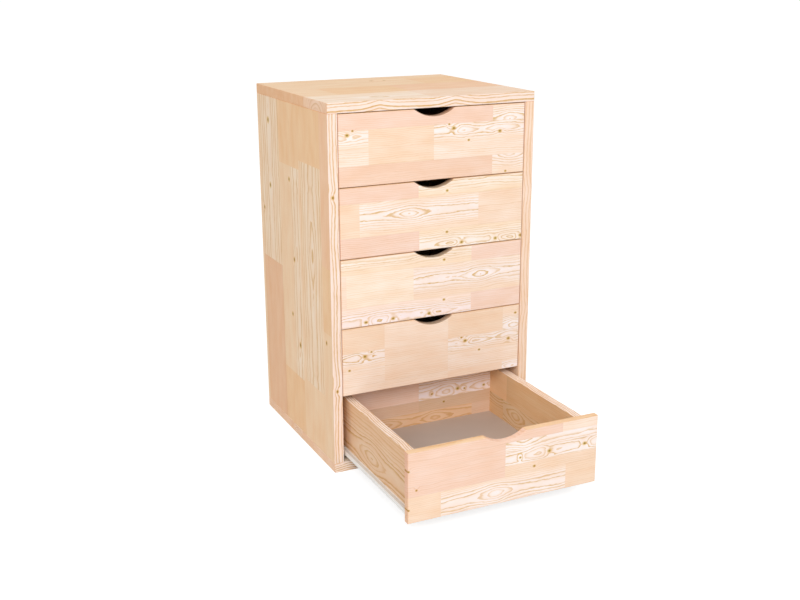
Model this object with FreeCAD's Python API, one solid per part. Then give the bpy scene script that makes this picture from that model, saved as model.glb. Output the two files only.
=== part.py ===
import FreeCAD, Part
import math
import os
from FreeCAD import Vector

# Pine drawer unit with five inset drawers on roller runners.
# All sizes are millimetres. X runs across the front, Y runs from the front to the back,
# Z is up. The origin is the middle of the cabinet's underside.
# The bottom drawer is drawn pulled out to its stop, the other four are closed.

# Carcass
cabinet_width = 400.0
cabinet_depth = 367.0
board_thickness = 18.0
board_easing = 0.8
back_panel_thickness = 3.0
back_panel_inset = 6.0
back_groove_depth = 7.0
back_panel_play = 0.5

# Drawer fronts, inset between the boards
drawer_count = 5
open_drawer = 5
front_height = 124.2
front_thickness = 13.0
front_recess = 1.0
front_gap_side = 1.3
front_gap_level = 1.5
front_easing = 0.9

# Finger notch in the top edge of each front
notch_radius = 62.0
notch_depth = 13.0
notch_shoulder_radius = 9.0

# Drawer box behind the front
box_rear_clearance = 18.0
box_side_thickness = 16.0
box_back_thickness = 16.0
box_raise = 2.0
box_below_front_top = 10.0
box_easing = 0.8
corner_joint_depth = 4.0
bottom_panel_thickness = 3.0
bottom_panel_raise = 12.5
bottom_groove_depth = 5.0
bottom_panel_play = 0.5

# Bent steel runners, measured inwards from the cabinet side and up from the front's lower edge
runner_space = 12.5
steel_thickness = 1.2
steel_bend = 0.6
cabinet_member_drop = 0.8
cabinet_member_height = 20.8
cabinet_member_setback = 2.0
cabinet_member_rear_clearance = 2.0
cabinet_flange_width = 10.3
drawer_member_height = 17.2
drawer_member_setback = 0.5
drawer_member_foot = 12.0
drawer_member_flange = 9.0
drawer_member_lip = 7.2
roller_cutout = 22.0
stop_height = 4.0
stop_clearance = 0.3

# Closed-faced rollers, clipped over pins that are riveted in the runners
roller_radius = 8.5
roller_play = 0.3
roller_cap_thickness = 1.0
roller_cap_play = 0.2
pin_radius = 2.0
pin_clearance = 0.08
cabinet_roller_width = 5.4
cabinet_roller_side_gap = 0.6
drawer_roller_width = 5.8
drawer_roller_side_gap = 1.0
cabinet_roller_inset = 9.5
drawer_roller_inset = 11.0
drawer_kept_inside = 60.0

# Dowels that hold the sides to the top and bottom
dowel_radius = 4.0
dowel_length = 30.0
dowel_in_flat_board = 12.0
dowel_end_space = 1.0
dowel_clearance = 0.05
dowel_count = 2
dowel_inset = 60.0

# How closely two directions or places agree when an edge or face is picked out
tolerance = 0.001

# Lines that several pieces share
half_width = cabinet_width / 2
inner_half_width = half_width - board_thickness
front_plane = -cabinet_depth / 2
back_plane = cabinet_depth / 2
stack_height = drawer_count * front_height + (drawer_count + 1) * front_gap_level
cabinet_height = stack_height + 2 * board_thickness
top_board_underside = cabinet_height - board_thickness
back_panel_outer = back_plane - back_panel_inset
back_panel_inner = back_panel_outer - back_panel_thickness
front_half_width = inner_half_width - front_gap_side
front_outer = front_plane + front_recess
front_inner = front_outer + front_thickness
box_end = back_panel_inner - box_rear_clearance
drawer_travel = box_end - front_inner - drawer_kept_inside
box_half_width = inner_half_width - runner_space
box_inner_half_width = box_half_width - box_side_thickness
box_top = front_height - box_below_front_top
box_back_inner = box_end - box_back_thickness
panel_low = box_raise + bottom_panel_raise
panel_high = panel_low + bottom_panel_thickness


def drawer_level(number):
    """Height of the lower edge of drawer NUMBER's front, counted from the top."""
    below = drawer_count - number
    return board_thickness + front_gap_level + below * (front_height + front_gap_level)


def block(x_range, y_range, z_range):
    """A box between two limits on each axis."""
    size = [high - low for low, high in (x_range, y_range, z_range)]
    corner = Vector(x_range[0], y_range[0], z_range[0])
    return Part.makeBox(size[0], size[1], size[2], corner)


def extruded(outline, direction):
    """A solid made by sweeping a closed flat outline along a vector."""
    return Part.Face(Part.Wire(outline)).extrude(direction)


def mirrored(shape):
    """The shape mirrored across the cabinet's middle plane."""
    return shape.mirror(Vector(0, 0, 0), Vector(1, 0, 0))


def on_both_sides(shape):
    """The right-hand shape and its mirror image on the left."""
    return [shape, mirrored(shape)]


def edges_along(shape, axis, keep):
    """The straight edges parallel to the unit vector AXIS whose midpoint satisfies KEEP."""
    straight = [edge for edge in shape.Edges if isinstance(edge.Curve, Part.Line)]
    along = [edge for edge in straight if abs(abs(edge.tangentAt(0).dot(axis)) - 1) < tolerance]
    return [edge for edge in along if keep(edge.CenterOfMass)]


def cut_out(shape, cutters):
    """Cut every cutter out of the shape."""
    return shape.cut(Part.makeCompound(cutters))


# Carcass boards


def carcass_dowel_places():
    """Start points of the dowels along each joint of a side with the top or bottom."""
    spread = cabinet_depth - 2 * dowel_inset
    middle_of_side = half_width - board_thickness / 2
    places = []
    for level, down in ((top_board_underside, -1), (board_thickness, 1)):
        for step in range(dowel_count):
            y = front_plane + dowel_inset + spread * step / (dowel_count - 1)
            for x in (-middle_of_side, middle_of_side):
                places.append((Vector(x, y, level), Vector(0, 0, down)))
    return places


def dowel(start, into_side):
    """A dowel across the joint at START: its long end is in the side board."""
    foot = start - into_side * dowel_in_flat_board
    return Part.makeCylinder(dowel_radius, dowel_length, foot, into_side)


def dowel_hole(start, into_side):
    """The bore for one dowel, with glue space at both ends."""
    foot = start - into_side * (dowel_in_flat_board + dowel_end_space)
    length = dowel_length + 2 * dowel_end_space
    return Part.makeCylinder(dowel_radius + dowel_clearance, length, foot, into_side)


def back_panel_block(reach_past_opening):
    """The back panel's place, reaching past the cabinet's opening on all four sides."""
    half = inner_half_width + reach_past_opening
    low = board_thickness - reach_past_opening
    return block((-half, half), (back_panel_inner, back_panel_outer), (low, cabinet_height - low))


def eased_board(x_range, y_range, z_range):
    """A planed board with all its edges eased."""
    board = block(x_range, y_range, z_range)
    return board.makeChamfer(board_easing, board.Edges)


def carcass_boards():
    """The top, bottom and two sides, with their dowel bores and the groove for the back."""
    full = (-half_width, half_width)
    depth = (front_plane, back_plane)
    between = (board_thickness, top_board_underside)
    boards = {
        "top_board": eased_board(full, depth, (top_board_underside, cabinet_height)),
        "bottom_board": eased_board(full, depth, (0, board_thickness)),
        "side_board_left": eased_board((-half_width, -inner_half_width), depth, between),
        "side_board_right": eased_board((inner_half_width, half_width), depth, between),
    }
    cutters = [dowel_hole(start, into_side) for start, into_side in carcass_dowel_places()]
    cutters.append(back_panel_block(back_groove_depth))
    return {name: cut_out(board, cutters) for name, board in boards.items()}


def back_panel():
    """The thin back, held in the groove that runs round all four boards."""
    return back_panel_block(back_groove_depth - back_panel_play)


# Runners: sections are drawn as (inwards from the cabinet side, up from the front's lower edge)

cabinet_member_low = -cabinet_member_drop
cabinet_member_high = cabinet_member_low + cabinet_member_height
cabinet_member_front = front_inner + cabinet_member_setback
cabinet_member_end = back_panel_inner - cabinet_member_rear_clearance
channel_floor = cabinet_member_low + steel_thickness
drawer_member_outer = runner_space - steel_thickness
drawer_member_low = box_raise - steel_thickness
drawer_member_high = drawer_member_low + drawer_member_height
drawer_member_front = front_inner + drawer_member_setback
drawer_flange_underside = drawer_member_high - steel_thickness
lip_outer = runner_space - drawer_member_flange
lip_inner = lip_outer + steel_thickness
lip_low = drawer_member_high - drawer_member_lip
cabinet_roller_y = cabinet_member_front + cabinet_roller_inset
cabinet_roller_up = drawer_flange_underside - roller_play - roller_radius
drawer_roller_y = box_end - drawer_roller_inset
drawer_roller_up = channel_floor + roller_play + roller_radius


def runner_section(corners, y_start, y_end):
    """Sweep a closed section of the right-hand runner along the drawer's travel."""
    points = [Vector(inner_half_width - inwards, y_start, up) for inwards, up in corners]
    outline = Part.makePolygon(points + points[:1])
    return extruded(outline, Vector(0, y_end - y_start, 0))


def bent(member, corners):
    """Give the long edges at these section corners their bend radius."""
    def at_a_corner(middle):
        inwards = inner_half_width - middle.x
        return any(math.hypot(inwards - u, middle.z - v) < tolerance for u, v in corners)
    return member.makeFillet(steel_bend, edges_along(member, Vector(0, 1, 0), at_a_corner))


def runner_block(inwards_range, y_range, up_range):
    """A box placed in the runner section's own coordinates."""
    near, far = inwards_range
    return block((inner_half_width - far, inner_half_width - near), y_range, up_range)


def inward_cylinder(radius, inwards_start, inwards_end, y, up):
    """A cylinder that points from the right-hand cabinet side at the drawer."""
    start = Vector(inner_half_width - inwards_start, y, up)
    return Part.makeCylinder(radius, inwards_end - inwards_start, start, Vector(-1, 0, 0))


def stop_reach():
    """Distance along Y from a drawer roller's centre to the end stop that it meets."""
    drop = drawer_roller_up - (channel_floor + stop_height)
    return math.sqrt(roller_radius ** 2 - drop ** 2) + stop_clearance


def cabinet_member():
    """The channel on the cabinet side. Its floor turns up at both ends to stop the drawer's roller."""
    low, high, wall = cabinet_member_low, cabinet_member_high, steel_thickness
    wide = cabinet_flange_width
    corners = [(0, low), (wide, low), (wide, low + wall), (wall, low + wall),
               (wall, high - wall), (wide, high - wall), (wide, high), (0, high)]
    channel = runner_section(corners, cabinet_member_front, cabinet_member_end)
    channel = bent(channel, [(0, low), (0, high)])
    floor_start = drawer_roller_y - drawer_travel - stop_reach() - wall
    floor_end = drawer_roller_y + stop_reach() + wall
    beyond_floor = [(cabinet_member_front - wall, floor_start), (floor_end, cabinet_member_end + wall)]
    below = (low - wall, low + wall)
    channel = cut_out(channel, [runner_block((wall, wide + wall), each, below) for each in beyond_floor])
    stops = [(floor_start, floor_start + wall), (floor_end - wall, floor_end)]
    upright = (low, channel_floor + stop_height)
    for each in stops:
        channel = channel.fuse(runner_block((wall, wide), each, upright))
    web_hole = inward_cylinder(pin_radius, 0, wall, cabinet_roller_y, cabinet_roller_up)
    return channel.removeSplitter().cut(web_hole)


def drawer_member():
    """The drawer's half of the runner: a foot under the side, a web, an outward flange and its lip."""
    foot_end = runner_space + drawer_member_foot
    low, high, wall = drawer_member_low, drawer_member_high, steel_thickness
    outer = drawer_member_outer
    corners = [(outer, low), (foot_end, low), (foot_end, low + wall), (runner_space, low + wall),
               (runner_space, high), (lip_outer, high), (lip_outer, lip_low),
               (lip_inner, lip_low), (lip_inner, high - wall), (outer, high - wall)]
    member = runner_section(corners, drawer_member_front, box_end)
    member = bent(member, [(outer, low), (runner_space, high), (lip_outer, high)])
    behind = (box_end - roller_cutout, box_end + wall)
    room_for_roller = runner_block((lip_outer - wall, outer), behind, (lip_low - wall, high + wall))
    web_hole = inward_cylinder(pin_radius, outer, runner_space, drawer_roller_y, drawer_roller_up)
    return cut_out(member, [room_for_roller, web_hole])


def roller(rim_start, width, y, up, cap_faces_drawer):
    """A moulded roller whose bore is open on the side of the pin and closed on the other."""
    disc = inward_cylinder(roller_radius, rim_start, rim_start + width, y, up)
    bore_start = rim_start if cap_faces_drawer else rim_start + roller_cap_thickness
    bore_end = bore_start + width - roller_cap_thickness
    bore_radius = pin_radius + pin_clearance
    return disc.cut(inward_cylinder(bore_radius, bore_start, bore_end, y, up))


def cabinet_roller_and_pin():
    """The front roller, which carries the drawer's flange, and its pin in the channel's web."""
    rim_end = drawer_member_outer - cabinet_roller_side_gap
    rim_start = rim_end - cabinet_roller_width
    wheel = roller(rim_start, cabinet_roller_width, cabinet_roller_y, cabinet_roller_up, True)
    tip = rim_end - roller_cap_thickness - roller_cap_play
    return wheel, inward_cylinder(pin_radius, 0, tip, cabinet_roller_y, cabinet_roller_up)


def drawer_roller_and_pin():
    """The rear roller, which runs on the channel's floor, and its pin in the drawer's web."""
    rim_end = drawer_member_outer - drawer_roller_side_gap
    rim_start = rim_end - drawer_roller_width
    wheel = roller(rim_start, drawer_roller_width, drawer_roller_y, drawer_roller_up, False)
    tip = rim_start + roller_cap_thickness + roller_cap_play
    return wheel, inward_cylinder(pin_radius, tip, runner_space, drawer_roller_y, drawer_roller_up)


# Drawer parts, drawn closed with the front's lower edge at height zero


def front_outline():
    """The front's outline in its outer plane, with the finger notch in the top edge."""
    half_chord = math.sqrt(notch_radius ** 2 - (notch_radius - notch_depth) ** 2)
    y = front_outer
    corners = [Vector(-half_chord, y, front_height), Vector(-front_half_width, y, front_height),
               Vector(-front_half_width, y, 0), Vector(front_half_width, y, 0),
               Vector(front_half_width, y, front_height), Vector(half_chord, y, front_height)]
    lowest = Vector(0, y, front_height - notch_depth)
    arc = Part.Arc(corners[-1], lowest, corners[0]).toShape()
    return Part.makePolygon(corners).Edges + [arc]


def drawer_front():
    """The front with its notch, eased edges, housings for the sides and groove for the bottom."""
    plate = extruded(front_outline(), Vector(0, front_thickness, 0))
    def at_a_shoulder(middle):
        return abs(middle.x) < front_half_width / 2 and middle.z > front_height - notch_depth
    shoulders = edges_along(plate, Vector(0, 1, 0), at_a_shoulder)
    plate = plate.makeFillet(notch_shoulder_radius, shoulders)
    large_faces = [face for face in plate.Faces if abs(face.normalAt(0, 0).y) > 1 - tolerance]
    plate = plate.makeChamfer(front_easing, [edge for face in large_faces for edge in face.Edges])
    into_the_back = (front_inner - corner_joint_depth, front_inner + corner_joint_depth)
    housing = block((box_inner_half_width, box_half_width), into_the_back, (box_raise, box_top))
    groove = block((-box_inner_half_width, box_inner_half_width), into_the_back, (panel_low, panel_high))
    return cut_out(plate, on_both_sides(housing) + [groove])


def drawer_side():
    """The right-hand side, with its rebate for the back and its groove for the bottom."""
    start = front_inner - corner_joint_depth
    board = block((box_inner_half_width, box_half_width), (start, box_end), (box_raise, box_top))
    top_edges = edges_along(board, Vector(0, 1, 0), lambda middle: middle.z > box_top - box_easing)
    board = board.makeChamfer(box_easing, top_edges)
    from_inside = box_inner_half_width - box_side_thickness
    rebate = block((from_inside, box_inner_half_width + corner_joint_depth),
                   (box_back_inner, box_end + box_back_thickness), (0, front_height))
    groove_end = box_back_inner + bottom_groove_depth
    groove = block((from_inside, box_inner_half_width + bottom_groove_depth),
                   (start - corner_joint_depth, groove_end), (panel_low, panel_high))
    return cut_out(board, [rebate, groove])


def drawer_back():
    """The back, let into the rebates of the two sides."""
    reach = box_inner_half_width + corner_joint_depth
    board = block((-reach, reach), (box_back_inner, box_end), (box_raise, box_top))
    top_edges = edges_along(board, Vector(1, 0, 0), lambda middle: middle.z > box_top - box_easing)
    board = board.makeChamfer(box_easing, top_edges)
    groove_y = (box_back_inner - bottom_groove_depth, box_back_inner + bottom_groove_depth)
    return board.cut(block((-half_width, half_width), groove_y, (panel_low, panel_high)))


def drawer_bottom():
    """The thin bottom panel in the grooves of the front, sides and back."""
    reach = box_inner_half_width + bottom_groove_depth - bottom_panel_play
    start = front_inner - corner_joint_depth + bottom_panel_play
    end = box_back_inner + bottom_groove_depth - bottom_panel_play
    return block((-reach, reach), (start, end), (panel_low, panel_high))


def drawer_parts():
    """All pieces of one drawer, keyed by the last part of their names."""
    side = drawer_side()
    wheel, pin = drawer_roller_and_pin()
    return {
        "front": [drawer_front()],
        "side_left": [mirrored(side)],
        "side_right": [side],
        "back": [drawer_back()],
        "bottom": [drawer_bottom()],
        "runners": on_both_sides(drawer_member()),
        "roller_pins": on_both_sides(pin),
        "rollers": on_both_sides(wheel),
    }


def write(name, shapes, shift=Vector(0, 0, 0)):
    """Write one node, with its solids moved by SHIFT."""
    placed = [shape.translated(shift) for shape in shapes]
    node = placed[0] if len(placed) == 1 else Part.makeCompound(placed)
    node.exportStep("parts/" + name + ".step")
    print(name, len(node.Solids), "solids", round(node.Volume / 1000, 2), "cm3")


os.makedirs("parts", exist_ok=True)

for board_name, board_shape in carcass_boards().items():
    write(board_name, [board_shape])
write("back_panel", [back_panel()])
write("carcass_dowels", [dowel(start, into_side) for start, into_side in carcass_dowel_places()])

drawer = drawer_parts()
channels = on_both_sides(cabinet_member())
front_roller, front_pin = cabinet_roller_and_pin()
levels = {number: Vector(0, 0, drawer_level(number)) for number in range(1, drawer_count + 1)}
for number, level in levels.items():
    pulled = Vector(0, -drawer_travel, 0) if number == open_drawer else Vector(0, 0, 0)
    for part_name, shapes in drawer.items():
        write("drawer_%d_%s" % (number, part_name), shapes, level + pulled)
    write("cabinet_runners_%d" % number, channels, level)
    write("cabinet_rollers_%d" % number, on_both_sides(front_roller), level)
front_pins = on_both_sides(front_pin)
write("cabinet_roller_pins", [pin.translated(level) for level in levels.values() for pin in front_pins])

print("cabinet", cabinet_width, "x", cabinet_depth, "x", round(cabinet_height, 3))
print("drawer travel", drawer_travel)
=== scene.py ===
# %% [markdown]
# # A pine drawer unit, dressed around its CAD frame
#
# The cabinet, its five drawers, the bent steel runners and the rollers all come ready shaped from
# the CAD model, and their joints with them. What is left for Blender is what the eye reads:
# the wood, the paint on the steel, the screws, the light and the camera.
# Every board keeps its CAD mesh, so nothing has to be fitted: a material is laid on the shape.

# %% Load the frame and keep its size
import math
import random

import bmesh
import bpy
from mathutils import Matrix, Vector


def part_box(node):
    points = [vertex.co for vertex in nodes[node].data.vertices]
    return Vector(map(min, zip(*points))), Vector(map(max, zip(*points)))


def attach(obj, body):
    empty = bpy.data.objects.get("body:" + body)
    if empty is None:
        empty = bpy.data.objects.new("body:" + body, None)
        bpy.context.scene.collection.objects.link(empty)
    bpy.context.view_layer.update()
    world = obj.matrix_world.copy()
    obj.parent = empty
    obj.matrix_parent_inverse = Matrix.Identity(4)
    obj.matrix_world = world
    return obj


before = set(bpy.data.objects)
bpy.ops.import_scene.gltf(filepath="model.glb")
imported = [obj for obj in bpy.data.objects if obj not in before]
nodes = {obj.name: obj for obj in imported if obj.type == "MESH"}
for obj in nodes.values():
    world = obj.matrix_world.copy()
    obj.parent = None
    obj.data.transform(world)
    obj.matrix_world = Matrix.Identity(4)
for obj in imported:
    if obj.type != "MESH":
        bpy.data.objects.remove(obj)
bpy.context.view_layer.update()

MM = 0.001
print("CAD nodes:", len(nodes))

# %% [markdown]
# ## Colours, shader nodes and slots
#
# Colours are written as sRGB hex, the way a paint chart or a picture editor gives them. Blender's
# sockets hold linear light, so one function converts them. Another adds a shader node, sets
# its properties and fills its inputs with numbers or with links from other nodes. A finished
# material goes into the material slots of the CAD nodes, which are left alone otherwise.

# %% Colour, node and material helpers
def linear(hex_colour):
    """An sRGB hex colour as linear red, green and blue."""
    shares = [int(hex_colour[start:start + 2], 16) / 255 for start in (0, 2, 4)]
    return [s / 12.92 if s <= 0.04045 else ((s + 0.055) / 1.055) ** 2.4 for s in shares]


def opaque(hex_colour):
    """The same colour with the alpha that colour sockets ask for."""
    return linear(hex_colour) + [1.0]


def fill_inputs(tree, node, inputs):
    """Give a node's inputs their values, or links from other nodes and sockets."""
    for place, value in dict(inputs).items():
        if isinstance(value, bpy.types.Node):
            value = next(out for out in value.outputs if out.enabled)
        if isinstance(value, bpy.types.NodeSocket):
            tree.links.new(value, node.inputs[place])
        else:
            node.inputs[place].default_value = value


def add_node(tree, kind, inputs=(), **settings):
    """Add a shader node, set its properties, and fill its inputs."""
    made = tree.nodes.new("ShaderNode" + kind)
    for name, value in settings.items():
        setattr(made, name, value)
    fill_inputs(tree, made, inputs)
    return made


def new_material(name):
    """A material with a surface shader and its output."""
    material = bpy.data.materials.new(name)
    material.use_nodes = True
    tree = material.node_tree
    tree.nodes.clear()
    shader = add_node(tree, "BsdfPrincipled")
    add_node(tree, "OutputMaterial", {"Surface": shader})
    return material, tree, shader


def dress(node_names, material):
    """Lay a material on CAD nodes."""
    for node_name in node_names:
        slots = nodes[node_name].data.materials
        slots.clear()
        slots.append(material)


print("middle grey in linear light:", round(linear("808080")[0], 3))

# %% [markdown]
# ## How pine shows its growth rings
#
# A pine log grows one ring a year around its heart: wide pale earlywood, then a narrow golden
# line of latewood that ends sharply. A board is a flat cut through those rings. Far from the
# heart the cut gives straight lines along the grain. Near it the lines open into arches, and where
# the trunk swelled a little they close into eyes.
#
# An image of wood would show one board again and again. Instead the rings themselves are
# worked out at each point of the solid: the distance to the heart line, divided by the width of
# a ring. That one formula draws the face, the edge and the end of a board so that they agree.
# The ramps that will feed it hold no negative numbers, so the heart's place comes in with
# 100 mm added.

# %% The ring figure's inputs and outputs
HEART_OFFSET = 100.0

figure = bpy.data.node_groups.new("growth rings of pine", "ShaderNodeTree")
for socket_name, kind in (("Place", "Vector"), ("Heart", "Vector"), ("Rings", "Vector"),
                          ("Eye length", "Float"), ("Seed", "Float"), ("Swell", "Float")):
    figure.interface.new_socket(socket_name, in_out="INPUT", socket_type="NodeSocket" + kind)
for socket_name in ("Latewood", "Paleness"):
    figure.interface.new_socket(socket_name, in_out="OUTPUT", socket_type="NodeSocketFloat")
print("the figure takes:", [item.name for item in figure.interface.items_tree])

# %% [markdown]
# A real ring is never a perfect circle. Three noises bend it: a wide one that lets the lines
# wander across the board, a slow one that moves the heart nearer and farther by part of a ring,
# and a fine one that roughens each line by half a millimetre. The first and the last are
# stretched along the grain. An eye is where the heart line comes nearest to the cut. A bell
# curve along the grain lets it draw away again on both sides.

# %% Bend the distance to the heart with noise
# Each noise is the sizes of its features in mm, its strength and its detail. The strength of the
# wander and the jitter is in mm, and that of the sway in ring widths.
WANDER = ((80, 24, 30), 10.0, 1.5)
SWAY = ((60, 70, 70), 0.8, 0.0)
JITTER = ((12, 4, 4), 2.2, 1.0)
SEED_STEPS = (37.0, 91.0, 53.0)
EYE_TAPER = 1.5


def stretched_noise(tree, place, shift, sizes, amount, detail):
    """A noise with features of these sizes in mm along, across and into the board, around zero."""
    scale = [1 / size for size in sizes]
    spot = add_node(tree, "VectorMath", {0: place, 1: scale, 2: shift}, operation="MULTIPLY_ADD")
    noise = add_node(tree, "TexNoise", {"Vector": spot, "Scale": 1.0, "Detail": detail})
    return add_node(tree, "Math", {0: noise, 1: amount, 2: -amount / 2}, operation="MULTIPLY_ADD")


def receding_heart(tree, along, eye, eye_length, swelling, sway):
    """How much farther the heart line lies from the cut than at the eye, in mm."""
    # The bell curve is exp(-(distance / length) ** taper), with the distance along the grain.
    bell = add_node(tree, "Math", {0: along, 1: eye}, operation="SUBTRACT")
    for operation, other in (("DIVIDE", eye_length), ("ABSOLUTE", 0.0), ("POWER", EYE_TAPER),
                             ("MULTIPLY", -1.0), ("EXPONENT", 0.0)):
        bell = add_node(tree, "Math", {0: bell, 1: other}, operation=operation)
    beside_eye = add_node(tree, "Math", {0: 1.0, 1: bell}, operation="SUBTRACT")
    return add_node(tree, "Math", {0: beside_eye, 1: swelling, 2: sway}, operation="MULTIPLY_ADD")


def heart_distance(tree, given):
    """How far a point lies beyond the innermost open ring, and beside the heart line, in mm."""
    along, across, deep = add_node(tree, "SeparateXYZ", {0: given["Place"]}).outputs
    heart = add_node(tree, "VectorMath", {0: given["Heart"], 1: [HEART_OFFSET] * 3}, operation="SUBTRACT")
    eye, middle, depth = add_node(tree, "SeparateXYZ", {0: heart}).outputs
    swelling, width, _ = add_node(tree, "SeparateXYZ", {0: given["Rings"]}).outputs
    shift = add_node(tree, "VectorMath", {0: given["Seed"], 1: SEED_STEPS}, operation="MULTIPLY")
    wander = stretched_noise(tree, given["Place"], shift, *WANDER)
    sway = stretched_noise(tree, given["Place"], shift, *SWAY)
    jitter = stretched_noise(tree, given["Place"], shift, *JITTER)

    from_middle = add_node(tree, "Math", {0: across, 1: middle}, operation="SUBTRACT")
    from_middle = add_node(tree, "Math", {0: from_middle, 1: wander}, operation="ADD")
    sway = add_node(tree, "Math", {0: sway, 1: width}, operation="MULTIPLY")
    farther = receding_heart(tree, along, eye, given["Eye length"], swelling, sway)
    below = add_node(tree, "Math", {0: deep, 1: depth}, operation="ADD")
    below = add_node(tree, "Math", {0: below, 1: farther}, operation="ADD")
    flat = add_node(tree, "CombineXYZ", {0: from_middle, 1: below})
    radius = add_node(tree, "VectorMath", {0: flat}, operation="LENGTH")
    radius = add_node(tree, "Math", {0: radius, 1: given["Swell"]}, operation="ADD")
    radius = add_node(tree, "Math", {0: radius, 1: jitter}, operation="ADD")
    beyond = add_node(tree, "Math", {0: radius, 1: depth}, operation="SUBTRACT")
    beyond = add_node(tree, "Math", {0: beyond, 1: swelling}, operation="SUBTRACT")
    return beyond, from_middle


print("features of the widest noise in mm:", WANDER[0])

# %% [markdown]
# Dividing by the ring width numbers the years. Its fraction is the season: the line rises through
# late summer and ends at once when growth stops. Good and bad years make wide and narrow rings,
# and strong and weak lines. The earlywood is palest in spring, and near the heart. Beside the
# heart the lines fade, down to a third at the reach.

# %% Turn the distance into latewood lines
# A season runs from 0 in spring to 1, where growth stops.
SPRING_AT_HEART = 0.27
UNEVEN_YEARS = 0.5
CHANGES_PER_YEAR = 0.7
LINE_RISES = {"From Min": 0.5, "From Max": 0.87}
LINE_ENDS = {"From Min": 0.92, "From Max": 1.0}
WEAKEST_LINE = 0.4
PALENESS_IN_AUTUMN = 0.3
LINES_BEYOND_REACH = 0.3
FADE_STARTS = 0.25
SMOOTH = {"interpolation_type": "SMOOTHSTEP"}
FALLING = {"To Min": 1.0, "To Max": 0.0}


def latewood_lines(tree, beyond, given):
    """How much latewood each point holds and how pale its earlywood is, from 0 to 1."""
    width = add_node(tree, "SeparateXYZ", {0: given["Rings"]}).outputs[1]
    count = add_node(tree, "Math", {0: beyond, 1: width}, operation="DIVIDE")
    year_in_life = add_node(tree, "Math", {0: count, 1: given["Seed"]}, operation="ADD")
    uneven = add_node(tree, "TexNoise", {"W": year_in_life, "Scale": CHANGES_PER_YEAR, "Detail": 0.0},
                      noise_dimensions="1D")
    count = add_node(tree, "Math", {0: uneven, 1: UNEVEN_YEARS, 2: count}, operation="MULTIPLY_ADD")
    count = add_node(tree, "Math", {0: count, 1: SPRING_AT_HEART - UNEVEN_YEARS / 2}, operation="ADD")
    season = add_node(tree, "Math", {0: count}, operation="FRACT")
    year = add_node(tree, "Math", {0: count}, operation="FLOOR")
    rising = add_node(tree, "MapRange", {"Value": season, **LINE_RISES}, **SMOOTH)
    ending = add_node(tree, "MapRange", {"Value": season, **LINE_ENDS, **FALLING}, **SMOOTH)
    line = add_node(tree, "Math", {0: rising, 1: ending}, operation="MULTIPLY")
    year = add_node(tree, "Math", {0: year, 1: given["Seed"]}, operation="ADD")
    good_year = add_node(tree, "TexWhiteNoise", {"W": year}, noise_dimensions="1D")
    strength = add_node(tree, "MapRange", {"Value": good_year, "To Min": WEAKEST_LINE, "To Max": 1.0})
    pale = add_node(tree, "MapRange", {"Value": season, "To Min": 1.0, "To Max": PALENESS_IN_AUTUMN})
    return add_node(tree, "Math", {0: line, 1: strength}, operation="MULTIPLY"), pale


def draw_figure(tree):
    """Fill the group: lines around the heart that fade towards the reach."""
    given = tree.nodes.new("NodeGroupInput").outputs
    beyond, from_middle = heart_distance(tree, given)
    line, pale = latewood_lines(tree, beyond, given)
    reach = add_node(tree, "SeparateXYZ", {0: given["Rings"]}).outputs[2]
    distance = add_node(tree, "Math", {0: from_middle}, operation="ABSOLUTE")
    fade_start = add_node(tree, "Math", {0: reach, 1: FADE_STARTS}, operation="MULTIPLY")
    near = add_node(tree, "MapRange", {
        "Value": distance, "From Min": fade_start, "From Max": reach, **FALLING}, **SMOOTH)
    kept = add_node(tree, "MapRange", {"Value": near, "To Min": LINES_BEYOND_REACH, "To Max": 1.0})
    line = add_node(tree, "Math", {0: line, 1: kept}, operation="MULTIPLY")
    pale = add_node(tree, "Math", {0: pale, 1: near}, operation="MULTIPLY")
    fill_inputs(tree, tree.nodes.new("NodeGroupOutput"), {"Latewood": line, "Paleness": pale})


draw_figure(figure)
print("nodes in the ring figure:", len(figure.nodes))

# %% [markdown]
# ## Staves
#
# Furniture board isn't one plank. It is glued up from rows of staves, and each row is made of
# short lengths joined end to end, so a plain pinkish stave meets a pale one full of arches.
# A stave is written down as where it starts along its row, its colour, and where its heart lay,
# all in mm. The eye is the heart's place along the row, the middle its place across the board,
# and the depth how far it lay in front of the face. A plain stave's heart is far away.

# %% One stave, plain or figured
PINK = "F5D0B8"
BISCUIT = "F3CDB2"
BLUSH = "F8D6C1"
PEACH = "F9DABF"
ROSE = "F4C7A0"
TAN = "F7D6B8"
LIGHT = "FDE5CC"
PALE = "FBDFC7"
CREAM = "FBE0C4"
HONEY = "F4C99B"
STRAW = "F6D1A9"
AMBER = "F2C596"
PETAL = "FDE1CD"
DUSK_WITH_PAINTED_SHADE = "E3BFA2"
RUSSET = "EFC098"
UMBER_WITH_PAINTED_SHADE = "E8BC92"
SHADE = "DEBB9B"
TOFFEE_WITH_PAINTED_SHADE = "E4BA8B"
SAPWOOD = "F8D4B6"
NO_FADE = 900.0


def figured(start, colour, seed, eye, middle, depth=3.0, swelling=8.0, width=3.5, reach=34.0,
            lines=1.0, eye_length=24.0):
    """A stave cut near the heart, whose lines arch around an eye."""
    return {"start": start, "colour": linear(colour) + [lines],
            "rings": [swelling, width, reach, eye_length],
            "heart": [eye + HEART_OFFSET, middle + HEART_OFFSET, depth + HEART_OFFSET, seed]}


def plain(start, colour, seed, lines=0.25):
    """A stave cut far from the heart: faint straight lines."""
    return figured(start, colour, seed, 0, -75, depth=40, swelling=0, width=3.2, reach=NO_FADE,
                   lines=lines, eye_length=30)


def with_eyes(start, colour, seed, eyes, middle, **look):
    """A stave with several eyes, divided half-way between them, where their lines meet."""
    starts = [start] + [(first + second) / 2 for first, second in zip(eyes, eyes[1:])]
    return [figured(begin, colour, seed, eye, middle, **look) for begin, eye in zip(starts, eyes)]


print("a figured stave:", figured(36, PALE, 1.0, 131, 70))

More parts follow.
